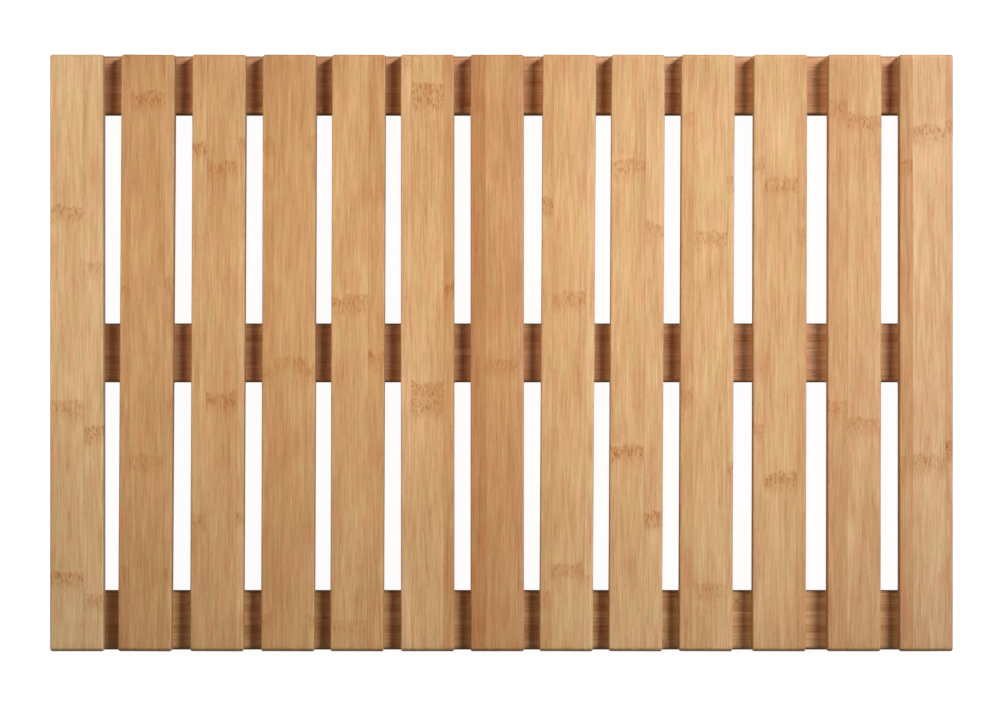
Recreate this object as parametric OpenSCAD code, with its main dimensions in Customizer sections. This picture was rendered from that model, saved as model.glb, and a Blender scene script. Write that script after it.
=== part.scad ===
// Slatted bamboo bath mat: a rigid duckboard of thirteen slats, screwed from below to three
// battens that stand on screwed-on rubber feet.
//
// Millimetres. The floor is z = 0 and +Z is up. X runs along the battens, Y along the slats.
// The origin is on the floor, under the middle of the mat. "Front" is -Y and "left" is -X.

/* [Slats] */
// Width of a slat
slat_w = 35.5; // [32:0.5:38]
// Length of a slat, which is the depth of the mat
slat_len = 397; // [320:1:480]
// Thickness of a slat
slat_t = 10; // [9:0.5:14]
// Usual gap between two slats
slat_gap = 11.5; // [9:0.5:16]
// Rounding of a slat's long upper edges
slat_round = 1.2; // [0.6:0.2:2]
// Rounding of a slat's upper edges across its ends
slat_end_round = 3; // [1:0.5:4]

/* [Battens] */
// Width of a batten
batten_w = 39.5; // [34:0.5:44]
// Thickness of a batten
batten_t = 9; // [8.5:0.5:11]
// How far a batten's ends stop short of the outer slats' edges
batten_inset = 1; // [0:0.5:5]
// Rounding of a batten's edges
batten_round = 2.5; // [1:0.5:3]

/* [Rubber feet] */
// Height of a foot, from the floor to the batten
foot_h = 4; // [3.5:0.5:6]
// Diameter of a foot where it meets the batten
foot_top_d = 20; // [18:1:22]
// Diameter of a foot on the floor
foot_base_d = 18; // [16:1:18]

/* [Screws] */
// Length of a countersunk screw that holds a slat
slat_screw_len = 16; // [15:1:16]
// Outer diameter of the screws' threads
thread_d = 3; // [2.5:0.5:3.5]
// Length of a pan-head screw that holds a foot
foot_screw_len = 10; // [8:1:10]

/* [Hidden] */
$fn = 48;

// The slats are set by hand: what each gap adds to the usual one, from left to right, and how
// far each slat leans from square, in degrees.
gap_trim = [-0.7, 0.5, 0, -1, -0.7, -0.7, -0.1, -1.1, -0.4, 1.4, 2.6, 0.7];
slat_lean = [0, -0.35, -0.25, -0.2, -0.2, 0, 0, -0.35, -0.3, -0.25, -0.15, -0.1, 0];
slat_count = len(slat_lean);

// Each foot stands under a gap, clear of the slats' screws. Gaps are counted from 0 at the left.
foot_gaps = [0, 4, 7, 11];

slat_low_round = 1;
slat_corner = 1.5;
batten_z = foot_h;
slat_z = batten_z + batten_t;
mat_w = slat_count * slat_w + (slat_count - 1) * slat_gap + sum_to(gap_trim, len(gap_trim));
batten_len = mat_w - 2 * batten_inset;
back_y = (slat_len - batten_w) / 2;
row_y = [-back_y, 0, back_y];

// Countersunk screw: the head sits a little below the batten's underside.
head_sink = 0.3;
csk_head_d = 6.5;
csk_rim = 0.4;
tip_len = 3;
clearance_d = thread_d + 0.6;
cross_w = 1;
cross_span = 3.4;
cross_depth = 1.6;

// Foot: a recess in its base takes a steel washer and the screw's pan head.
foot_round = 0.8;
foot_recess_d = 9;
foot_recess_h = 2.4;
washer_d = 8.6;
washer_t = 0.8;
pan_head_d = 6;
pan_head_h = 1.2;
pan_head_z = foot_recess_h - washer_t - pan_head_h;

slat_colours = ["#d0a575", "#c4905e", "#c99968", "#c59362", "#ca9a69", "#cda170", "#c28f60",
                "#d1a677", "#d4a97a", "#d5a879", "#d5a87a", "#d2a377", "#d4a87e"];
batten_colour = "#a8713f";
steel_colour = "#b9bcc0";
rubber_colour = "#2b2b2c";

// Sum of the first n values of a list
function sum_to(values, n) = n == 0 ? 0 : values[n - 1] + sum_to(values, n - 1);

// Middle of slat i, half way along it
function slat_x(i) =
    -mat_w / 2 + slat_w / 2 + i * (slat_w + slat_gap) + sum_to(gap_trim, i);

// Where the middle line of slat i crosses the line y
function crossing_x(i, y) = slat_x(i) - y * tan(slat_lean[i]);

// Middle of the gap to the right of slat i
function gap_x(i) = (slat_x(i) + slat_x(i + 1)) / 2;

// Rectangle w by h with its base on y = 0, rounded by low at the base and by high at the top
module rounded_section(w, h, low, high) {
    translate([-w / 2, low]) square([w, h - low - high]);
    translate([-w / 2 + low, 0]) square([w - 2 * low, h / 2]);
    translate([-w / 2 + high, h / 2]) square([w - 2 * high, h / 2]);
    for (side = [-1, 1]) {
        translate([side * (w / 2 - low), low]) circle(low);
        translate([side * (w / 2 - high), h - high]) circle(high);
    }
}

// Bar of length len along Y. Its lower edges are rounded by low, its upper ones by side along it
// and by end across its ends, and its upright corners by corner.
module eased_bar(w, len, t, low, side, end, corner) {
    intersection() {
        rotate([90, 0, 0]) linear_extrude(len + 2, center = true)
            rounded_section(w, t, low, side);
        rotate([90, 0, 90]) linear_extrude(w + 2, center = true)
            rounded_section(len, t, low, end);
        translate([0, -len / 2, -1]) linear_extrude(t + 2)
            rounded_section(w, len, corner, corner);
    }
}

// Outside of the countersunk screw, point up, with its head's face on z = 0
module csk_screw_body() {
    rotate_extrude() polygon([
        [0, 0],
        [csk_head_d / 2, 0],
        [csk_head_d / 2, csk_rim],
        [thread_d / 2, csk_rim + (csk_head_d - thread_d) / 2],
        [thread_d / 2, slat_screw_len - tip_len],
        [0, slat_screw_len]
    ]);
}

// Cross recess for the screwdriver, cut upwards from z = 0
module cross_recess(depth) {
    for (turn = [0, 90])
        rotate(turn) translate([-cross_span / 2, -cross_w / 2, -1])
            cube([cross_span, cross_w, depth + 1]);
}

module csk_screw() {
    difference() {
        csk_screw_body();
        cross_recess(cross_depth);
    }
}

// Pan-head screw, point up, with the underside of its head on z = 0
module pan_screw_body() {
    rotate_extrude() {
        polygon([
            [0, 0],
            [thread_d / 2, 0],
            [thread_d / 2, foot_screw_len - tip_len],
            [0, foot_screw_len]
        ]);
        translate([0, -pan_head_h]) square([pan_head_d / 2 - pan_head_h / 2, pan_head_h]);
        translate([0, -pan_head_h / 2]) square([pan_head_d / 2, pan_head_h / 2]);
        intersection() {
            translate([pan_head_d / 2 - pan_head_h / 2, -pan_head_h / 2]) circle(pan_head_h / 2);
            translate([0, -pan_head_h]) square([pan_head_d / 2, pan_head_h]);
        }
    }
}

module pan_screw() {
    difference() {
        pan_screw_body();
        translate([0, 0, -pan_head_h]) cross_recess(pan_head_h * 0.7);
    }
}

module slat(i) {
    color(slat_colours[i]) difference() {
        translate([slat_x(i), 0, slat_z]) rotate(slat_lean[i]) eased_bar(
            slat_w, slat_len, slat_t, slat_low_round, slat_round, slat_end_round, slat_corner
        );
        for (y = row_y)
            translate([crossing_x(i, y), y, batten_z + head_sink]) csk_screw_body();
    }
}

// Batten on row r: 0 is the front one, 1 the middle one and 2 the back one
module batten(r) {
    color(batten_colour) difference() {
        translate([0, row_y[r], batten_z]) rotate(90) eased_bar(
            batten_w, batten_len, batten_t, batten_round, batten_round, batten_round, batten_round
        );
        for (i = [0 : slat_count - 1])
            translate([crossing_x(i, row_y[r]), row_y[r], batten_z]) slat_screw_way();
        for (i = foot_gaps)
            translate([gap_x(i), row_y[r], foot_recess_h - washer_t]) pan_screw_body();
    }
}

// Way for a slat's screw through a batten: a countersink under a clearance hole
module slat_screw_way() {
    translate([0, 0, -1]) cylinder(h = batten_t + 2, d = clearance_d);
    translate([0, 0, -1]) cylinder(h = 1 + head_sink + csk_rim, d = csk_head_d);
    translate([0, 0, head_sink + csk_rim])
        cylinder(h = (csk_head_d - thread_d) / 2, d1 = csk_head_d, d2 = thread_d);
}

module slat_screws(r) {
    color(steel_colour) for (i = [0 : slat_count - 1])
        translate([crossing_x(i, row_y[r]), row_y[r], batten_z + head_sink]) csk_screw();
}

// Foot under gap i on row r
module foot(r, i) {
    color(rubber_colour) translate([gap_x(i), row_y[r], 0]) difference() {
        rotate_extrude() {
            polygon([
                [0, 0],
                [foot_base_d / 2 - foot_round, 0],
                [foot_base_d / 2, foot_round],
                [foot_top_d / 2, foot_h],
                [0, foot_h]
            ]);
            translate([foot_base_d / 2 - foot_round, foot_round]) circle(foot_round);
        }
        translate([0, 0, -1]) cylinder(h = foot_h + 2, d = thread_d);
        translate([0, 0, -1]) cylinder(h = foot_recess_h + 1, d = foot_recess_d);
    }
}

module foot_washers(r) {
    color(steel_colour) for (i = foot_gaps)
        translate([gap_x(i), row_y[r], foot_recess_h - washer_t]) difference() {
            cylinder(h = washer_t, d = washer_d);
            translate([0, 0, -1]) cylinder(h = washer_t + 2, d = thread_d + 0.2);
        }
}

module foot_screws(r) {
    color(steel_colour) for (i = foot_gaps)
        translate([gap_x(i), row_y[r], foot_recess_h - washer_t]) pan_screw();
}

slat(0);  // slat_01
slat(1);  // slat_02
slat(2);  // slat_03
slat(3);  // slat_04
slat(4);  // slat_05
slat(5);  // slat_06
slat(6);  // slat_07
slat(7);  // slat_08
slat(8);  // slat_09
slat(9);  // slat_10
slat(10);  // slat_11
slat(11);  // slat_12
slat(12);  // slat_13
batten(0);  // batten_front
batten(1);  // batten_middle
batten(2);  // batten_back
slat_screws(0);  // slat_screws_front
slat_screws(1);  // slat_screws_middle
slat_screws(2);  // slat_screws_back
foot(0, foot_gaps[0]);  // foot_front_1
foot(0, foot_gaps[1]);  // foot_front_2
foot(0, foot_gaps[2]);  // foot_front_3
foot(0, foot_gaps[3]);  // foot_front_4
foot(1, foot_gaps[0]);  // foot_middle_1
foot(1, foot_gaps[1]);  // foot_middle_2
foot(1, foot_gaps[2]);  // foot_middle_3
foot(1, foot_gaps[3]);  // foot_middle_4
foot(2, foot_gaps[0]);  // foot_back_1
foot(2, foot_gaps[1]);  // foot_back_2
foot(2, foot_gaps[2]);  // foot_back_3
foot(2, foot_gaps[3]);  // foot_back_4
foot_washers(0);  // foot_washers_front
foot_washers(1);  // foot_washers_middle
foot_washers(2);  // foot_washers_back
foot_screws(0);  // foot_screws_front
foot_screws(1);  // foot_screws_middle
foot_screws(2);  // foot_screws_back
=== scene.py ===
import math
import random

import bmesh
import bpy
from mathutils import Matrix, Vector, noise


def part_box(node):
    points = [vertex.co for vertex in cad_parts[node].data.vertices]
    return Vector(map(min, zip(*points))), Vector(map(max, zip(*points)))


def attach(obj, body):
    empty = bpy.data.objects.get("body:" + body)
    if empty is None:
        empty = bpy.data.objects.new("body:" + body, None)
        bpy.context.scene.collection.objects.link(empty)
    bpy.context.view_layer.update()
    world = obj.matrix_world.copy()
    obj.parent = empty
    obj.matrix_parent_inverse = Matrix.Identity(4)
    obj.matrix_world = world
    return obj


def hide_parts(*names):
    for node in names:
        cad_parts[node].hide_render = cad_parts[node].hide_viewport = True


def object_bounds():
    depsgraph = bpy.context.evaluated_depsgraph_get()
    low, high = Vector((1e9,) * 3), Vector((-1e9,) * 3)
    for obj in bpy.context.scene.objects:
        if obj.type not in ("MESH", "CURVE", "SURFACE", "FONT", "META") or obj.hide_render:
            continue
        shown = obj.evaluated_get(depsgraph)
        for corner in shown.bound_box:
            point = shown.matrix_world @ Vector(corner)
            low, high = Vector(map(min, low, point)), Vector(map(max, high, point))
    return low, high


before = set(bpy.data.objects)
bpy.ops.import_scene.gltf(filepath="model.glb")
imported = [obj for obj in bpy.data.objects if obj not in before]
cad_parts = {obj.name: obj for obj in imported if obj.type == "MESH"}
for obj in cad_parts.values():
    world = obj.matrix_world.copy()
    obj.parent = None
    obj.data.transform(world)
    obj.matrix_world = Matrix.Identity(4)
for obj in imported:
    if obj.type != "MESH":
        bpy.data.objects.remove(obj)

CAD_LOW, CAD_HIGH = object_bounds()

MM = 0.001  # Blender works in metres. Sizes below are in millimetres unless a comment says otherwise.
ROWS = ("front", "middle", "back")

# What the CAD model fixes for the pieces that are made again here
SLAT_ROUND = 1.2
SLAT_END_ROUND = 3.0
SLAT_LOW_ROUND = 1.0
SLAT_CORNER = 1.5
BATTEN_ROUND = 2.5
CLEARANCE_R = 1.8
PILOT_R = 1.5
CSK_HEAD_R = 3.25
CSK_RIM = 0.4
HEAD_SINK = 0.3
SLAT_SCREW_LENGTH = 16.0
FOOT_SCREW_LENGTH = 10.0
PAN_HEAD_R = 3.0
PAN_HEAD_H = 1.2
FOOT_PILOT_DEPTH = 8.0
FOOT_BASE_R = 9.0

# Each slat is sawn from a board of flat bamboo strips glued side by side, so it shows two or three
# of them. A strip is (width, how pale it is, how pink it is, knuckles), from the left. The usual
# tone is 1. A knuckle is (distance from the slat's back end, how strongly it shows from 0 to 1).
SLAT_STRIPS = [
    [
        (22.3, 1.19, 0.0, [(105, 0.61), (235, 0.47), (348, 0.61)]),
        (13.2, 1.19, 0.0, [(142, 0.41), (251, 0.74), (362, 0.47)]),
    ],
    [
        (6.6, 0.86, 0.0, [(154, 0.52), (345, 0.46)]),
        (22.9, 0.88, 0.0, [(30, 0.69), (270, 0.52)]),
        (6.0, 0.93, 0.1, [(151, 0.46), (345, 0.46)]),
    ],
    [
        (10.0, 0.98, 0.0, [(63, 0.72), (125, 0.24), (309, 0.60)]),
        (20.5, 0.95, 0.0, [(75, 0.66), (229, 0.66)]),
        (5.0, 1.03, 0.0, [(60, 0.54), (308, 0.54)]),
    ],
    [
        (7.5, 0.85, 0.0, [(60, 0.55), (84, 0.30), (213, 0.55), (375, 0.50)]),
        (22.0, 0.89, 0.0, [(7, 0.20), (205, 0.55)]),
        (6.0, 0.93, 0.0, [(57, 0.55), (211, 0.55), (377, 0.50)]),
    ],
    [
        (24.5, 0.97, 0.0, [(165, 0.66), (380, 0.36)]),
        (11.0, 0.90, 0.0, [(93, 0.42), (202, 0.72)]),
    ],
    [
        (7.0, 1.12, 0.2, [(3, 0.34)]),
        (21.5, 1.03, 0.0, [(24, 0.81), (31, 0.68), (222, 0.81), (233, 0.68)]),
        (7.0, 0.83, 0.0, [(155, 0.95)]),
    ],
    [
        (10.0, 0.68, 0.3, [(32, 0.70), (379, 0.50)]),
        (21.5, 0.84, 0.1, [(207, 0.60)]),
        (4.0, 0.84, 0.6, []),
    ],
    [
        (7.5, 0.98, 0.0, [(100, 0.85), (362, 0.50)]),
        (22.0, 1.02, 0.0, [(162, 0.55), (343, 0.55)]),
        (6.0, 1.17, 0.2, [(349, 0.45)]),
    ],
    [
        (23.0, 1.05, 0.0, [(75, 0.50), (264, 0.77)]),
        (12.5, 1.11, 0.2, [(117, 0.50), (308, 0.77)]),
    ],
    [
        (8.5, 0.92, 0.1, [(43, 0.45), (227, 0.50)]),
        (22.5, 1.09, 0.0, [(122, 0.55), (355, 0.50)]),
        (4.5, 1.11, 0.2, [(86, 0.45), (276, 0.45)]),
    ],
    [
        (7.5, 1.05, 0.3, [(73, 0.45), (250, 0.64)]),
        (21.5, 1.07, 0.0, [(86, 0.56), (282, 0.64)]),
        (6.5, 0.96, 0.1, [(100, 0.26), (119, 0.41)]),
    ],
    [
        (13.0, 0.95, 0.5, [(35, 0.60), (235, 0.50)]),
        (22.5, 1.05, 0.4, [(44, 0.65), (246, 0.50)]),
    ],
    [
        (8.5, 0.88, 0.6, [(74, 0.66), (272, 0.33)]),
        (22.0, 1.15, 0.6, [(52, 0.55), (271, 0.55)]),
        (5.0, 1.03, 1.0, [(47, 0.55), (262, 0.83)]),
    ],
]


# ---------------------------------------------------------------- materials


class Paint:
    """A procedural material, with short ways to add its nodes. A node's output stands for its value."""

    def __init__(self, name):
        self.material = bpy.data.materials.new(name)
        self.material.use_nodes = True
        self.tree = self.material.node_tree
        self.shader = self.tree.nodes["Principled BSDF"]

    def feed(self, socket, value):
        """Links value to socket if it is an output, and otherwise sets it."""
        if isinstance(value, bpy.types.NodeSocket):
            self.tree.links.new(value, socket)
        elif value is not None:
            socket.default_value = value

    def add(self, kind, *values, **settings):
        """A new node of that kind, with its input sockets fed in order."""
        node = self.tree.nodes.new("ShaderNode" + kind)
        for key, value in settings.items():
            setattr(node, key, value)
        for socket, value in zip(node.inputs, values):
            self.feed(socket, value)
        return node

    def math(self, operation, *values):
        return self.add("Math", *values, operation=operation).outputs[0]

    def vector(self, operation, *values):
        return self.add("VectorMath", *values, operation=operation).outputs[0]

    def scaled(self, vector, factor):
        node = self.add("VectorMath", vector, operation="SCALE")
        self.feed(node.inputs["Scale"], factor)
        return node.outputs[0]

    def smooth(self, value, start, end, low=0.0, high=1.0):
        """Goes smoothly from low to high as value goes from start to end."""
        node = self.add("MapRange", value, start, end, low, high, interpolation_type="SMOOTHSTEP")
        return node.outputs[0]

    def noise(self, vector, scale=1.0, detail=2.0, roughness=0.5, distortion=0.0):
        node = self.add("TexNoise", vector)
        node.inputs["Scale"].default_value = scale
        node.inputs["Detail"].default_value = detail
        node.inputs["Roughness"].default_value = roughness
        node.inputs["Distortion"].default_value = distortion
        return node.outputs[0]

    def swing(self, value, amount):
        """A noise value turned into one that swings about zero, by about amount at its peaks."""
        return self.math("MULTIPLY", self.math("SUBTRACT", value, 0.5), 2.0 * amount)

    def total(self, *values):
        result = values[0]
        for value in values[1:]:
            result = self.math("ADD", result, value)
        return result

    def mix(self, factor, first, second):
        node = self.add("Mix", data_type="RGBA")
        self.feed(node.inputs[0], factor)
        self.feed(node.inputs[6], first)
        self.feed(node.inputs[7], second)
        return node.outputs[2]

    def bump(self, height, distance):
        """Gives the shader a bump distance millimetres high where height goes from 0 to 1."""
        node = self.add("Bump")
        node.inputs["Strength"].default_value = 1.0
        node.inputs["Distance"].default_value = distance * MM
        self.feed(node.inputs["Height"], height)
        self.feed(self.shader.inputs["Normal"], node.outputs[0])


def bamboo_tone(pale, pink=0.0):
    """The linear colour of sanded bamboo. Darker bamboo is also deeper in colour."""
    red = 0.592 * pale**0.62 * (1 + 0.02 * pink)
    green = 0.336 * pale**1.15 * (1 - 0.02 * pink)
    blue = 0.146 * pale**1.8 * (1 + 0.12 * pink)
    return (red, green, blue, 1.0)


# Linear colours of the battens' top faces, paler by painted light (palest in front), of their other faces,
# and of what is mixed into the bamboo
BATTEN_TOP_TONES_WITH_PAINTED_LIGHT = {
    "front": (0.780, 0.425, 0.180, 1.0),
    "middle": (0.725, 0.357, 0.164, 1.0),
    "back": (0.760, 0.363, 0.165, 1.0),
}
BATTEN_SIDE_TONE = (0.52, 0.29, 0.13, 1.0)
KNUCKLE_BROWN = (0.42, 0.139, 0.023, 1.0)
GLUE_BROWN = (0.36, 0.17, 0.07, 1.0)
END_GRAIN_BROWN = (0.33, 0.17, 0.075, 1.0)
# Near-black brown mixed onto the long sides as painted shade
SIDE_SHADE_BROWN = (0.06, 0.03, 0.015, 1.0)


def grain_space(paint):
    """The piece's own coordinates in millimetres: across the grain, along it, and up through it."""
    place = paint.add("Attribute", attribute_name="grain").outputs["Vector"]
    apart = paint.add("SeparateXYZ", place)
    return apart.outputs[0], apart.outputs[1], apart.outputs[2]


def joined(paint, across, along, up):
    return paint.add("CombineXYZ", across, along, up).outputs[0]


def fibres(paint, grain, seed, per_mm, length, detail=2.0):
    """Noise drawn out along the grain: per_mm fibres to a millimetre, each about length long."""
    across, along, up = grain
    x = paint.math("MULTIPLY", across, per_mm)
    y = paint.math("MULTIPLY", along, 1.0 / length)
    z = paint.math("MULTIPLY_ADD", up, per_mm, seed)
    return paint.noise(joined(paint, x, y, z), 1.0, detail, 0.55)


def knuckle_mask(paint, along, knuckles, slat_length):
    """How near a point is to a knuckle of its strip: sharp behind it, and dying away in front."""
    result = 0.0
    for from_back, strength in knuckles:
        in_front = paint.math("SUBTRACT", slat_length / 2 - from_back, along)
        rise = paint.smooth(in_front, -5.0, -3.0)
        fall = paint.smooth(in_front, 1.0, 12.0, strength, 0.0)
        band = paint.math("MULTIPLY", rise, fall)
        result = paint.math("MAXIMUM", result, band)
    return result


def knuckle_marks(paint, grain, seed, knuckle):
    """The leaning strokes and small flecks that show where there is a knuckle."""
    across, along, up = grain
    slant_x = paint.math("MULTIPLY", across, 0.12)
    slant_y = paint.math("MULTIPLY", along, 0.16)
    slant = paint.noise(joined(paint, slant_x, slant_y, seed))
    leaning = paint.math("ADD", across, paint.swing(slant, 3.0))
    stroke_noise = fibres(paint, (leaning, along, up), paint.math("ADD", seed, 90.0), 0.85, 5.0)
    strokes = paint.math("MULTIPLY", paint.smooth(stroke_noise, 0.50, 0.60), 0.74)
    fleck_noise = fibres(paint, grain, paint.math("ADD", seed, 130.0), 0.80, 1.7, 1.0)
    flecks = paint.math("MULTIPLY", paint.smooth(fleck_noise, 0.55, 0.66), 0.46)
    return paint.math("MULTIPLY", knuckle, paint.total(0.27, strokes, flecks))


def fibre_colour(paint, base, grain, seed, fine, dashes):
    """The strip's own colour, lighter and darker, warmer and cooler from fibre to fibre."""
    middle = fibres(paint, grain, seed, 0.30, 45.0)
    broad = fibres(paint, grain, seed, 0.06, 75.0)
    warmth = fibres(paint, grain, paint.math("ADD", seed, 30.0), 0.14, 20.0)
    specks = fibres(paint, grain, paint.math("ADD", seed, 170.0), 1.1, 2.0, 1.0)
    shade = paint.total(
        paint.swing(specks, 0.09),
        paint.swing(fine, 0.34),
        paint.swing(middle, 0.22),
        paint.swing(broad, 0.24),
        paint.math("MULTIPLY", dashes, -0.12),
        0.01,
    )
    # Darker fibres are deeper in colour as well, so the shade acts most on blue and least on red
    deeper = paint.vector("ADD", paint.scaled((0.68, 1.15, 1.60), shade), (1.0, 1.0, 1.0))
    warmer = paint.scaled((0.06, -0.14, -0.04), paint.swing(warmth, 1.0))
    return paint.vector("MULTIPLY", base, paint.vector("ADD", deeper, warmer))


def end_grain(paint, grain, seed, length):
    """How dark the ends are, where the saw cuts through the fibres and each shows as a dark dot."""
    from_end = paint.math("SUBTRACT", length / 2, paint.math("ABSOLUTE", grain[1]))
    end = paint.smooth(from_end, 1.1, 0.15)
    dots = paint.smooth(fibres(paint, grain, seed, 2.2, 30.0, 1.0), 0.48, 0.62)
    return paint.math("MULTIPLY", end, paint.math("MULTIPLY_ADD", dots, 0.34, 0.04))


def painted_side_shade(paint, across, width):
    """How dark the long sides are made with painted shade, the shade that falls between neighbouring
    pieces.
    """
    from_side = paint.math("SUBTRACT", width / 2, paint.math("ABSOLUTE", across))
    return paint.math("MULTIPLY", paint.smooth(from_side, 0.45, 0.05), 0.34)


def finish_bamboo(paint, base, grain, seed, knuckle, glue, width, length):
    """What every bamboo piece shares: fibres, knuckle marks, glue lines, end grain, painted shade on the
    long sides, and gloss.
    """
    fine = fibres(paint, grain, seed, 0.95, 26.0)
    dash_noise = fibres(paint, grain, paint.math("ADD", seed, 50.0), 1.5, 8.0, 1.0)
    dashes = paint.smooth(dash_noise, 0.56, 0.74)
    marks = knuckle_marks(paint, grain, seed, knuckle)
    end = end_grain(paint, grain, seed, length)
    colour = fibre_colour(paint, base, grain, seed, fine, dashes)
    colour = paint.mix(marks, colour, KNUCKLE_BROWN)
    colour = paint.mix(paint.math("MULTIPLY", glue, 0.45), colour, GLUE_BROWN)
    # Painted shade: the long side faces are darkened towards a near-black brown
    colour = paint.mix(painted_side_shade(paint, grain[0], width), colour, SIDE_SHADE_BROWN)
    colour = paint.mix(end, colour, END_GRAIN_BROWN)
    paint.feed(paint.shader.inputs["Base Color"], colour)
    rough = paint.total(0.44, paint.math("MULTIPLY", fine, 0.14), paint.math("MULTIPLY", end, 0.3))
    paint.feed(paint.shader.inputs["Roughness"], rough)
    height = paint.total(
        fine,
        paint.math("MULTIPLY", dashes, -0.6),
        paint.math("MULTIPLY", marks, -1.0),
        paint.math("MULTIPLY", glue, -0.7),
    )
    paint.bump(height, 0.10)
    return paint.material


def slat_bamboo(name, strips, seed, width, length, thickness):
    """Flat bamboo strips glued side by side in two layers. The lower is the upper mirrored and shifted."""
    paint = Paint(name)
    across, along, up = grain_space(paint)
    layer_seam = thickness * 0.48
    lower = paint.math("LESS_THAN", up, layer_seam)
    side = paint.math("MULTIPLY", across, paint.math("MULTIPLY_ADD", lower, -2.0, 1.0))
    wobble_x = paint.math("MULTIPLY", side, 0.16)
    wobble_y = paint.math("MULTIPLY", along, 0.05)
    wobble = paint.noise(joined(paint, wobble_x, wobble_y, seed))
    level = paint.total(along, paint.swing(wobble, 5.0), paint.math("MULTIPLY", lower, 47.0))
    base = bamboo_tone(*strips[0][1:3])
    knuckle = knuckle_mask(paint, level, strips[0][3], length)
    glue = 0.0
    number = paint.math("MULTIPLY", lower, 5.0)
    edge = -width / 2
    for before, after in zip(strips, strips[1:]):
        edge += before[0]
        past = paint.math("GREATER_THAN", side, edge)
        base = paint.mix(past, base, bamboo_tone(*after[1:3]))
        other = knuckle_mask(paint, level, after[3], length)
        knuckle = paint.add("Mix", past, None, knuckle, other).outputs[0]
        off = paint.math("ABSOLUTE", paint.math("SUBTRACT", side, edge))
        glue = paint.math("MAXIMUM", glue, paint.smooth(off, 0.22, 0.06))
        number = paint.math("ADD", number, past)
    layer_off = paint.math("ABSOLUTE", paint.math("SUBTRACT", up, layer_seam))
    glue = paint.math("MAXIMUM", glue, paint.smooth(layer_off, 0.16, 0.05))
    strip_seed = paint.math("MULTIPLY_ADD", number, 7.3, seed)
    return finish_bamboo(paint, base, (across, along, up), strip_seed, knuckle, glue, width, length)


def batten_bamboo(name, seed, width, length, thickness, top_tone_with_painted_light):
    """Bamboo strips stood on edge and pressed together, so a batten shows many narrow ones."""
    paint = Paint(name)
    grain = grain_space(paint)
    across, along, up = grain
    strip_w = 4.7
    place = paint.math("MULTIPLY_ADD", across, 1.0 / strip_w, seed)
    number = paint.math("FLOOR", place)
    within = paint.math("FRACT", place)
    chance = paint.add("TexWhiteNoise", None, number, noise_dimensions="1D").outputs
    pale = paint.math("MULTIPLY_ADD", chance["Value"], 0.26, -0.13)
    tone = paint.vector("ADD", paint.scaled((0.62, 1.15, 1.75), pale), (1.0, 1.0, 1.0))
    # Painted light: the top face gets a paler tone than the other faces, which keep a deeper one
    top = paint.smooth(up, thickness - 0.6, thickness - 0.1)
    usual = paint.mix(top, BATTEN_SIDE_TONE, top_tone_with_painted_light)
    base = paint.vector("MULTIPLY", usual, tone)
    random_parts = paint.add("SeparateXYZ", chance["Color"])
    spacing = paint.math("MULTIPLY_ADD", random_parts.outputs[0], 90.0, 130.0)
    turn = paint.math("ADD", paint.math("DIVIDE", along, spacing), random_parts.outputs[1])
    beyond = paint.math("MULTIPLY", paint.math("FRACT", turn), spacing)
    fall = paint.smooth(beyond, 1.5, 6.0, 0.55, 0.0)
    knuckle = paint.math("MULTIPLY", paint.smooth(beyond, 0.0, 1.0), fall)
    nearer = paint.math("MINIMUM", within, paint.math("SUBTRACT", 1.0, within))
    glue = paint.smooth(paint.math("MULTIPLY", nearer, strip_w), 0.25, 0.06)
    strip_seed = paint.math("MULTIPLY_ADD", number, 3.7, seed)
    return finish_bamboo(paint, base, grain, strip_seed, knuckle, glue, width, length)


def zinc_steel():
    """Bright zinc plate: faintly cloudy, with fine marks from the driver and the bin."""
    paint = Paint("zinc_plate")
    place = paint.add("TexCoord").outputs["Object"]
    cloud = paint.noise(place, 420.0, 3.0)
    scratches = paint.noise(paint.vector("MULTIPLY", place, (1.0, 6.0, 3.0)), 900.0, 2.0, 0.6, 0.6)
    colour = paint.mix(cloud, (0.52, 0.54, 0.57, 1.0), (0.70, 0.69, 0.66, 1.0))
    paint.feed(paint.shader.inputs["Base Color"], colour)
    paint.shader.inputs["Metallic"].default_value = 1.0
    rough = paint.total(0.20, paint.math("MULTIPLY", cloud, 0.18), paint.math("MULTIPLY", scratches, 0.14))
    paint.feed(paint.shader.inputs["Roughness"], rough)
    paint.bump(scratches, 0.012)
    return paint.material


def black_rubber():
    """Moulded rubber: matt, very slightly mottled, with a dusty bloom where it is rubbed."""
    paint = Paint("moulded_rubber")
    place = paint.add("TexCoord").outputs["Object"]
    grain = paint.noise(place, 2600.0, 2.0)
    bloom = paint.smooth(paint.noise(place, 260.0, 4.0, 0.65), 0.48, 0.72)
    colour = paint.mix(bloom, (0.022, 0.022, 0.023, 1.0), (0.060, 0.058, 0.055, 1.0))
    paint.feed(paint.shader.inputs["Base Color"], colour)
    rough = paint.total(0.58, paint.math("MULTIPLY", bloom, 0.22), paint.math("MULTIPLY", grain, 0.10))
    paint.feed(paint.shader.inputs["Roughness"], rough)
    paint.bump(grain, 0.03)
    return paint.material


# ---------------------------------------------------------------- geometry


def mesh_object(name, mesh_builder, material):
    """An object made from a bmesh, which is freed."""
    mesh = bpy.data.meshes.new(name)
    bmesh.ops.recalc_face_normals(mesh_builder, faces=mesh_builder.faces)
    mesh_builder.to_mesh(mesh)
    mesh_builder.free()
    mesh.materials.append(material)
    obj = bpy.data.objects.new(name, mesh)
    bpy.context.scene.collection.objects.link(obj)
    return obj


def smooth_shaded(obj, angle=32.0):
    """Shades faces as one smooth surface where they meet at less than angle degrees."""
    obj.data.shade_smooth()
    obj.data.set_sharp_from_angle(angle=math.radians(angle))


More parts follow.
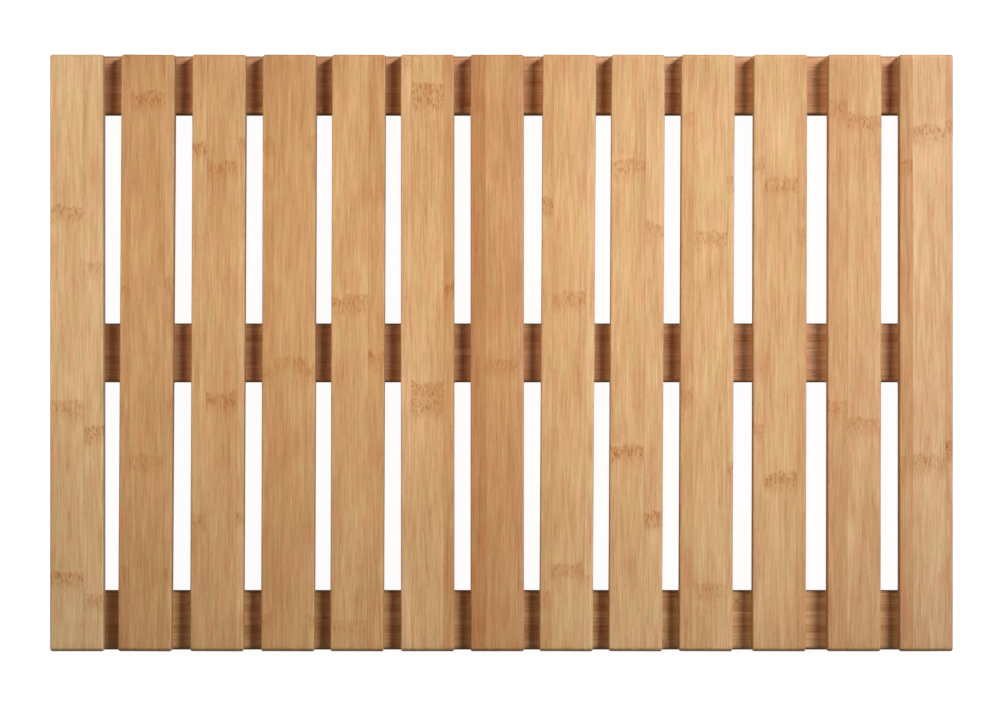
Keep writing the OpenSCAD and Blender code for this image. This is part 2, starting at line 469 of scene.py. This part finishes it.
def cut(obj, cutter):
    """Cuts cutter's shape out of obj and removes cutter."""
    modifier = obj.modifiers.new("cut", "BOOLEAN")
    modifier.operation = "DIFFERENCE"
    modifier.solver = "EXACT"
    modifier.object = cutter
    graph = bpy.context.evaluated_depsgraph_get()
    mesh = bpy.data.meshes.new_from_object(obj.evaluated_get(graph))
    obj.modifiers.clear()
    old = obj.data
    mesh.name = old.name
    obj.data = mesh
    bpy.data.meshes.remove(old)
    bpy.data.meshes.remove(cutter.data)


def ring_points(half_w, half_l, corner, steps_wide, steps_long, corner_steps):
    """A rounded rectangle, anticlockwise from its right side's front end, as pairs (place, normal)."""
    points = []
    quarters = [(1, -1), (1, 1), (-1, 1), (-1, -1)]
    places = [Vector((x * (half_w - corner), y * (half_l - corner))) for x, y in quarters]
    for turn in range(4):
        start, end = places[turn], places[(turn + 1) % 4]
        steps = steps_long if turn % 2 == 0 else steps_wide
        angle = turn * math.pi / 2
        normal = Vector((math.cos(angle), math.sin(angle)))
        for step in range(steps + 1):
            points.append((start.lerp(end, step / steps) + normal * corner, normal))
        for step in range(1, corner_steps):
            bend = angle + step / corner_steps * math.pi / 2
            normal = Vector((math.cos(bend), math.sin(bend)))
            points.append((end + normal * corner, normal))
    return points


def arc_inset(radius, below_top):
    """How far an edge rounded by radius stands in from the side, at a depth below_top."""
    if below_top >= radius:
        return 0.0
    return radius - math.sqrt(max(0.0, radius**2 - (radius - below_top) ** 2))


def arc_depths(radius, steps=6):
    return [radius * (1 - math.sin(step / steps * math.pi / 2)) for step in range(steps + 1)]


def eased_bar(name, size, low, side, end, corner, material, seed):
    """A bar along Y with its underside on z = 0. Its lower edges are rounded by low and its upper ones
    by side along it and by end across its ends, a little unevenly, as a sander leaves them. Its upright
    corners are rounded by corner."""
    width, length, thickness = size
    arc_steps = 6
    steps_long = max(8, round(length / 6))
    steps_wide = max(4, round(width / 4))
    lower = arc_depths(low)
    upper = [thickness - depth for depth in arc_depths(side) + arc_depths(end)]
    levels = []
    for z in sorted(lower + upper):
        if not levels or z - levels[-1] > 0.02:
            levels.append(z)
    builder = bmesh.new()
    rings = []
    for z in levels:
        in_w = arc_inset(low, z) + arc_inset(side, thickness - z)
        in_l = arc_inset(low, z) + arc_inset(end, thickness - z)
        bend = max(0.0, corner - (in_w + in_l) / 2)
        points = ring_points(width / 2 - in_w, length / 2 - in_l, bend, steps_wide, steps_long, arc_steps)
        worn = max(0.0, 1 - abs(thickness - z - side * 0.4) / (side * 1.2))
        ring = []
        for place, normal in points:
            wear = 0.07 * (1 + noise.noise(Vector((place.x * 0.05, place.y * 0.02, seed)))) * worn
            shift = Vector((normal.x, normal.y, 1.0)).normalized() * wear
            ring.append(builder.verts.new((place.x - shift.x, place.y - shift.y, z - shift.z)))
        rings.append(ring)
    for first, second in zip(rings, rings[1:]):
        for here in range(len(first)):
            there = (here + 1) % len(first)
            builder.faces.new((first[here], first[there], second[there], second[here]))
    builder.faces.new(list(reversed(rings[0])))
    cap_with_quads(builder, rings[-1], steps_wide, steps_long, arc_steps)
    bmesh.ops.remove_doubles(builder, verts=builder.verts, dist=1e-4)
    return mesh_object(name, builder, material)


def cap_with_quads(builder, ring, steps_wide, steps_long, corner_steps):
    """Fills a ring whose corners have closed up to points with a grid of quads."""
    side = steps_long + corner_steps
    end = steps_wide + corner_steps
    right = ring[: steps_long + 1]
    back = ring[side : side + steps_wide + 1]
    left = ring[side + end : side + end + steps_long + 1]
    front = ring[2 * side + end : 2 * side + end + steps_wide + 1]
    grid = {}
    for row in range(steps_long + 1):
        grid[steps_wide, row] = right[row]
        grid[0, row] = left[steps_long - row]
    for column in range(1, steps_wide):
        grid[column, steps_long] = back[steps_wide - column]
        grid[column, 0] = front[column]
    for row in range(1, steps_long):
        for column in range(1, steps_wide):
            first, last = grid[0, row].co, grid[steps_wide, row].co
            grid[column, row] = builder.verts.new(first.lerp(last, column / steps_wide))
    for row in range(steps_long):
        for column in range(steps_wide):
            corners = ((column, row), (column + 1, row), (column + 1, row + 1), (column, row + 1))
            builder.faces.new([grid[key] for key in corners])


def revolve(builder, profile, segments, centre=(0.0, 0.0, 0.0), closed=False):
    """Turns a profile of (radius, height) points about a vertical axis. A closed profile makes a ring."""
    rings = []
    for radius, height in profile:
        if radius < 1e-6:
            rings.append([builder.verts.new((centre[0], centre[1], centre[2] + height))])
            continue
        ring = []
        for step in range(segments):
            angle = step / segments * math.tau
            x = centre[0] + radius * math.cos(angle)
            y = centre[1] + radius * math.sin(angle)
            ring.append(builder.verts.new((x, y, centre[2] + height)))
        rings.append(ring)
    pairs = list(zip(rings, rings[1:]))
    if closed:
        pairs.append((rings[-1], rings[0]))
    for first, second in pairs:
        for here in range(segments):
            there = (here + 1) % segments
            if len(first) == 1:
                builder.faces.new((first[0], second[here], second[there]))
            elif len(second) == 1:
                builder.faces.new((first[here], first[there], second[0]))
            else:
                builder.faces.new((first[here], first[there], second[there], second[here]))


def threaded_screw(head, neck_z, tip_z, builder, segments=20):
    """A wood screw, point up. head is the profile of its head, from the middle of its face to the neck,
    and the thread winds from there to the tip."""
    core_r, thread_r, pitch, ridge = 1.05, 1.5, 1.25, 0.30
    steps_per_turn = 7
    rings = []
    for radius, height in head:
        rings.append([(radius, height)] * segments)
    steps = round((tip_z - neck_z) / pitch * steps_per_turn)
    for step in range(1, steps):
        z = neck_z + (tip_z - neck_z) * step / steps
        taper = min(1.0, (tip_z - z) / 3.0)
        run_in = min(1.0, (z - neck_z) / 2.5)
        ring = []
        for corner in range(segments):
            phase = (z / pitch - corner / segments) % 1.0
            crest = max(0.0, 1 - abs(phase - 0.5) / ridge)
            core = thread_r + (core_r - thread_r) * run_in
            ring.append((taper * (core + (thread_r - core) * crest), z))
        rings.append(ring)
    made = []
    for ring in rings:
        row = []
        for corner, (radius, z) in enumerate(ring):
            angle = corner / segments * math.tau
            row.append(builder.verts.new((radius * math.cos(angle), radius * math.sin(angle), z)))
        made.append(row)
    tip = builder.verts.new((0.0, 0.0, tip_z))
    for lower, upper in zip(made, made[1:]):
        for here in range(segments):
            there = (here + 1) % segments
            builder.faces.new((lower[here], lower[there], upper[there], upper[here]))
    for here in range(segments):
        builder.faces.new((made[-1][here], made[-1][(here + 1) % segments], tip))
    builder.faces.new(list(reversed(made[0])))


def cross_cutter(face_z, depth):
    """The shape of a cross-head driver's tip, which narrows as it goes up from face_z by depth."""
    builder = bmesh.new()
    rings = []
    for z, span, wing in ((face_z - 0.5, 1.85, 0.52), (face_z, 1.7, 0.48), (face_z + depth, 0.75, 0.34)):
        ring = []
        for turn in range(4):
            facing = Matrix.Rotation(turn * math.pi / 2, 2)
            for x, y in ((span, -wing), (span, wing), (wing, wing)):
                spot = facing @ Vector((x, y))
                ring.append(builder.verts.new((spot.x, spot.y, z)))
        rings.append(ring)
    for lower, upper in zip(rings, rings[1:]):
        for here in range(12):
            there = (here + 1) % 12
            builder.faces.new((lower[here], lower[there], upper[there], upper[here]))
    builder.faces.new(list(reversed(rings[0])))
    builder.faces.new(rings[-1])
    return mesh_object("cross_cutter", builder, None)


def countersunk_screw(material):
    """A 3 x 16 mm countersunk screw, point up, with its head's face on z = 0."""
    builder = bmesh.new()
    head = [(1.9, 0.0), (CSK_HEAD_R - 0.12, 0.0), (CSK_HEAD_R, 0.12), (CSK_HEAD_R, CSK_RIM)]
    head += [(2.4, 1.25), (1.62, 2.05), (1.5, 2.35)]
    threaded_screw(head, 2.6, SLAT_SCREW_LENGTH, builder)
    screw = mesh_object("countersunk_screw", builder, material)
    cut(screw, cross_cutter(0.0, 1.7))
    return screw


def pan_screw(material):
    """A 3 x 10 mm pan-head screw, point up, with the underside of its head on z = 0."""
    builder = bmesh.new()
    head = [(1.8, -PAN_HEAD_H), (2.25, -PAN_HEAD_H + 0.06), (2.65, -PAN_HEAD_H + 0.24)]
    head += [(2.9, -PAN_HEAD_H + 0.55), (PAN_HEAD_R, -0.3), (PAN_HEAD_R, -0.05), (2.95, 0.0), (1.5, 0.0)]
    threaded_screw(head, 0.3, FOOT_SCREW_LENGTH, builder)
    screw = mesh_object("pan_screw", builder, material)
    cut(screw, cross_cutter(-PAN_HEAD_H, 0.85))
    return screw


def copies(name, prototype, places, seed):
    """One object that holds a copy of prototype's mesh at each place, each turned its own way."""
    turns = random.Random(seed)
    builder = bmesh.new()
    for place in places:
        turned = prototype.data.copy()
        turned.transform(Matrix.Translation(place) @ Matrix.Rotation(turns.uniform(0, math.tau), 4, "Z"))
        builder.from_mesh(turned)
        bpy.data.meshes.remove(turned)
    return mesh_object(name, builder, prototype.data.materials[0])


def joined_revolves(name, profile, places, segments, material, closed):
    builder = bmesh.new()
    for place in places:
        revolve(builder, profile, segments, place, closed)
    return mesh_object(name, builder, material)


def give_grain(obj):
    """Stores each point's place in the piece's own millimetres, before the piece is put in its place."""
    attribute = obj.data.attributes.new("grain", "FLOAT_VECTOR", "POINT")
    flat = [value for vertex in obj.data.vertices for value in vertex.co]
    attribute.data.foreach_set("vector", flat)


def settle(obj, matrix, node):
    """Puts a finished piece, made in millimetres, in its place, in metres, as the piece for a CAD node."""
    obj.data.transform(Matrix.Scale(MM, 4) @ matrix)
    obj.data.update()
    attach(obj, "root")
    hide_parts(node)


# ---------------------------------------------------------------- pieces


def size_of(node):
    low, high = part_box(node)
    return low / MM, high / MM


def lean_of(node):
    """How far a slat is turned about +Z, in radians, from the middles of its two ends."""
    low, high = size_of(node)
    reach = SLAT_END_ROUND * 2
    points = [vertex.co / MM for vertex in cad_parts[node].data.vertices]
    back = [point.x for point in points if point.y > high.y - reach]
    front = [point.x for point in points if point.y < low.y + reach]
    shift = (max(front) + min(front) - max(back) - min(back)) / 2
    return math.atan2(shift, high.y - low.y)


def row_y(row):
    low, high = size_of("batten_" + row)
    return (low.y + high.y) / 2


def crossing(slat, row):
    """Where a slat's middle line crosses a batten's."""
    low, high = size_of(slat)
    y = row_y(row)
    return Vector(((low.x + high.x) / 2 - y * math.tan(lean_of(slat)), y))


def foot_places(row):
    places = []
    for number in range(1, 5):
        low, high = size_of(f"foot_{row}_{number}")
        places.append(Vector(((low.x + high.x) / 2, (low.y + high.y) / 2)))
    return places


def at_height(places, z):
    return [(place.x, place.y, z) for place in places]


def make_slats(slats, width, length, thickness):
    for number, slat in enumerate(slats):
        low, high = size_of(slat)
        seed = 11.7 * (number + 1)
        material = slat_bamboo(f"bamboo_{slat}", SLAT_STRIPS[number], seed, width, length, thickness)
        rounds = (SLAT_LOW_ROUND, SLAT_ROUND, SLAT_END_ROUND, SLAT_CORNER)
        piece = eased_bar(f"bar_{slat}", (width, length, thickness), *rounds, material, seed)
        centre = Vector(((low.x + high.x) / 2, (low.y + high.y) / 2, low.z))
        turn = lean_of(slat)
        place = Matrix.Translation(centre) @ Matrix.Rotation(turn, 4, "Z")
        depth = size_of("slat_screws_middle")[1].z - low.z
        holes = []
        for row in ROWS:
            spot = crossing(slat, row)
            holes.append(place.inverted() @ Vector((spot.x, spot.y, low.z)))
        # Each pilot hole narrows to a point just past its screw's tip
        profile = [(0.0, -1.0), (PILOT_R, -1.0), (PILOT_R, depth - 2.5), (0.0, depth + 0.3)]
        cut(piece, joined_revolves("pilot_cutter", profile, holes, 24, material, False))
        give_grain(piece)
        smooth_shaded(piece)
        settle(piece, place, slat)


def make_battens(slats):
    for number, row in enumerate(ROWS):
        node = "batten_" + row
        low, high = size_of(node)
        width, length, thickness = high.y - low.y, high.x - low.x, high.z - low.z
        seed = 3.31 * (number + 1)
        # Each row's top tone carries painted light
        material = batten_bamboo(f"bamboo_{node}", seed, width, length, thickness, BATTEN_TOP_TONES_WITH_PAINTED_LIGHT[row])
        rounds = [BATTEN_ROUND] * 4
        piece = eased_bar(f"bar_{node}", (width, length, thickness), *rounds, material, seed)
        middle = Matrix.Translation(((low.x + high.x) / 2, row_y(row), low.z))
        place = middle @ Matrix.Rotation(-math.pi / 2, 4, "Z")
        back = place.inverted()
        screws = [back @ crossing(slat, row).to_3d() for slat in slats]
        feet = [back @ spot.to_3d() for spot in foot_places(row)]
        cone_top = HEAD_SINK + CSK_RIM + CSK_HEAD_R - CLEARANCE_R
        sink = [(0.0, -1.0), (CSK_HEAD_R + 0.12, -1.0), (CSK_HEAD_R + 0.12, -0.01)]
        sink += [(CSK_HEAD_R + 0.01, 0.14), (CSK_HEAD_R + 0.01, HEAD_SINK + CSK_RIM)]
        sink += [(CLEARANCE_R, cone_top), (CLEARANCE_R, thickness + 1), (0.0, thickness + 1)]
        pilot = [(0.0, -1.0), (PILOT_R, -1.0)]
        pilot += [(PILOT_R, FOOT_PILOT_DEPTH - 3.0), (0.0, FOOT_PILOT_DEPTH)]
        cut(piece, joined_revolves("sink_cutter", sink, at_height(screws, 0.0), 40, material, False))
        cut(piece, joined_revolves("pilot_cutter", pilot, at_height(feet, 0.0), 24, material, False))
        give_grain(piece)
        smooth_shaded(piece)
        settle(piece, place, node)


def foot_profile(height, top_r, base_r):
    """Round the section of a foot from its bore's upper end: bore, recess, grooved base, rim and top."""
    bore_r, recess_r, recess_h = 1.65, 4.5, 2.4
    points = [(bore_r, height), (bore_r, recess_h + 0.1), (bore_r + 0.1, recess_h)]
    points += [(recess_r - 0.3, recess_h), (recess_r, recess_h - 0.3)]
    points += [(recess_r, 0.35), (recess_r + 0.1, 0.1), (recess_r + 0.35, 0.0)]
    for groove_r in (5.7, 6.9):
        points += [(groove_r - 0.28, 0.0), (groove_r - 0.12, 0.3)]
        points += [(groove_r + 0.12, 0.3), (groove_r + 0.28, 0.0)]
    edge = 0.8
    for step in range(7):
        angle = step / 6 * math.pi / 2
        points.append((base_r - edge + edge * math.sin(angle), edge - edge * math.cos(angle)))
    points += [(top_r - 0.55, height - 1.05), (top_r - 0.18, height - 0.9), (top_r, height - 0.7)]
    points += [(top_r, height - 0.2), (top_r - 0.2, height)]
    return points


def make_feet(rubber):
    for row in ROWS:
        for number in range(1, 5):
            node = f"foot_{row}_{number}"
            low, high = size_of(node)
            profile = foot_profile(high.z - low.z, (high.x - low.x) / 2, FOOT_BASE_R)
            centre = ((low.x + high.x) / 2, (low.y + high.y) / 2, low.z)
            piece = joined_revolves(f"rubber_{node}", profile, [centre], 72, rubber, True)
            smooth_shaded(piece, 40.0)
            settle(piece, Matrix.Identity(4), node)


def make_fasteners(slats, steel):
    slat_screw = countersunk_screw(steel)
    foot_screw = pan_screw(steel)
    # Round a washer's section: 3.3 mm bore, 8.6 mm across and 0.8 mm thick, with its edges broken
    washer = [(1.65, 0.08), (1.73, 0.0), (4.18, 0.0), (4.3, 0.1)]
    washer += [(4.3, 0.7), (4.18, 0.8), (1.73, 0.8), (1.65, 0.72)]
    for number, row in enumerate(ROWS):
        screws, washers, feet = f"slat_screws_{row}", f"foot_washers_{row}", f"foot_screws_{row}"
        spots = at_height([crossing(slat, row) for slat in slats], size_of(screws)[0].z)
        piece = copies("steel_" + screws, slat_screw, spots, number)
        smooth_shaded(piece, 38.0)
        settle(piece, Matrix.Identity(4), screws)
        spots = at_height(foot_places(row), size_of(washers)[0].z)
        piece = joined_revolves("steel_" + washers, washer, spots, 48, steel, True)
        smooth_shaded(piece)
        settle(piece, Matrix.Identity(4), washers)
        spots = at_height(foot_places(row), size_of(feet)[0].z + PAN_HEAD_H)
        piece = copies("steel_" + feet, foot_screw, spots, number + 10)
        smooth_shaded(piece, 38.0)
        settle(piece, Matrix.Identity(4), feet)
    for prototype in (slat_screw, foot_screw):
        bpy.data.meshes.remove(prototype.data)


# ---------------------------------------------------------------- stage, light and camera
# The floor, the lights and the camera are sized and placed in metres


def make_floor():
    """A plain pale floor, bright to the eye so that it reads as a white sweep."""
    builder = bmesh.new()
    bmesh.ops.create_grid(builder, x_segments=1, y_segments=1, size=4.0)
    paint = Paint("pale_floor")
    tree = paint.tree
    soft = paint.add("BsdfDiffuse", (0.25, 0.25, 0.25, 1.0))
    ray = paint.add("LightPath").outputs
    glow = paint.add("Emission", (1.0, 1.0, 1.0, 1.0), paint.math("MULTIPLY", ray["Is Camera Ray"], 0.96))
    both = paint.add("AddShader", soft.outputs[0], glow.outputs[0])
    clear = paint.add("BsdfTransparent")
    under = paint.add("NewGeometry").outputs["Backfacing"]
    open_to = paint.math("MAXIMUM", under, ray["Is Shadow Ray"])
    sided = paint.add("MixShader", open_to, both.outputs[0], clear.outputs[0])
    tree.links.new(sided.outputs[0], tree.nodes["Material Output"].inputs["Surface"])
    floor = mesh_object("floor", builder, paint.material)
    floor.location.z = CAD_LOW.z - 0.0002


def soft_light(name, place, aim, width, height, spread, watts, colour):
    """A softbox with a grid over it, which keeps its light within an angle of spread degrees."""
    data = bpy.data.lights.new(name, "AREA")
    data.shape = "RECTANGLE"
    data.size, data.size_y = width, height
    data.spread = math.radians(spread)
    data.energy = watts
    data.color = colour
    light = bpy.data.objects.new(name, data)
    light.location = place
    light.rotation_mode = "QUATERNION"
    light.rotation_quaternion = (Vector(aim) - Vector(place)).to_track_quat("-Z", "Y")
    bpy.context.scene.collection.objects.link(light)


def light_the_mat():
    """A strong softbox behind to the right, a weaker one to the left, a broad light from below for
    the underside, and an even grey surround."""
    key, key_aim = (1.20, 0.90, 1.15), (-0.24, -0.29, 0.02)
    fill, fill_aim = (-1.05, 0.17, 0.95), (0.05, 0.14, 0.02)
    soft_light("key_softbox", key, key_aim, 0.45, 0.95, 54, 4.8, (0.965, 1.0, 1.03))
    soft_light("fill_softbox", fill, fill_aim, 0.45, 0.95, 40, 1.24, (1.14, 1.0, 0.85))
    soft_light("under_light", (0.0, 0.0, -1.5), (0.0, 0.0, 0.0), 1.50, 1.50, 180, 6.0, (1.0, 1.0, 1.0))
    world = bpy.data.worlds.new("surround")
    bpy.context.scene.world = world
    world.use_nodes = True
    tree = world.node_tree
    grey = tree.nodes["Background"].inputs
    grey["Color"].default_value = (1.0, 1.0, 1.0, 1.0)
    seen = tree.nodes.new("ShaderNodeMapRange")
    seen.inputs["To Min"].default_value = 0.06
    seen.inputs["To Max"].default_value = 0.90
    ray = tree.nodes.new("ShaderNodeLightPath")
    tree.links.new(ray.outputs["Is Camera Ray"], seen.inputs["Value"])
    tree.links.new(seen.outputs[0], grey["Strength"])


def make_camera():
    """Straight above the mat, far enough off that only a sliver of each slat's side shows. The view
    spans frame_width at the slats' tops, and its middle is a hair off the mat's."""
    distance = 1.70
    frame_width = 0.6642
    off_x, off_y = -0.0010, 0.0006
    data = bpy.data.cameras.new("camera")
    data.sensor_width = 36.0
    data.lens = data.sensor_width * distance / frame_width
    camera = bpy.data.objects.new("camera", data)
    camera.location = (off_x, off_y, CAD_HIGH.z + distance)
    bpy.context.scene.collection.objects.link(camera)
    bpy.context.scene.camera = camera
    bpy.context.scene.view_settings.view_transform = "Standard"


SLATS = [f"slat_{number:02d}" for number in range(1, len(SLAT_STRIPS) + 1)]
slat_low, slat_high = size_of(SLATS[0])
slat_size = slat_high - slat_low
make_camera()
make_slats(SLATS, slat_size.x, slat_size.y, slat_size.z)
make_battens(SLATS)
make_feet(black_rubber())
make_fasteners(SLATS, zinc_steel())
make_floor()
light_the_mat()
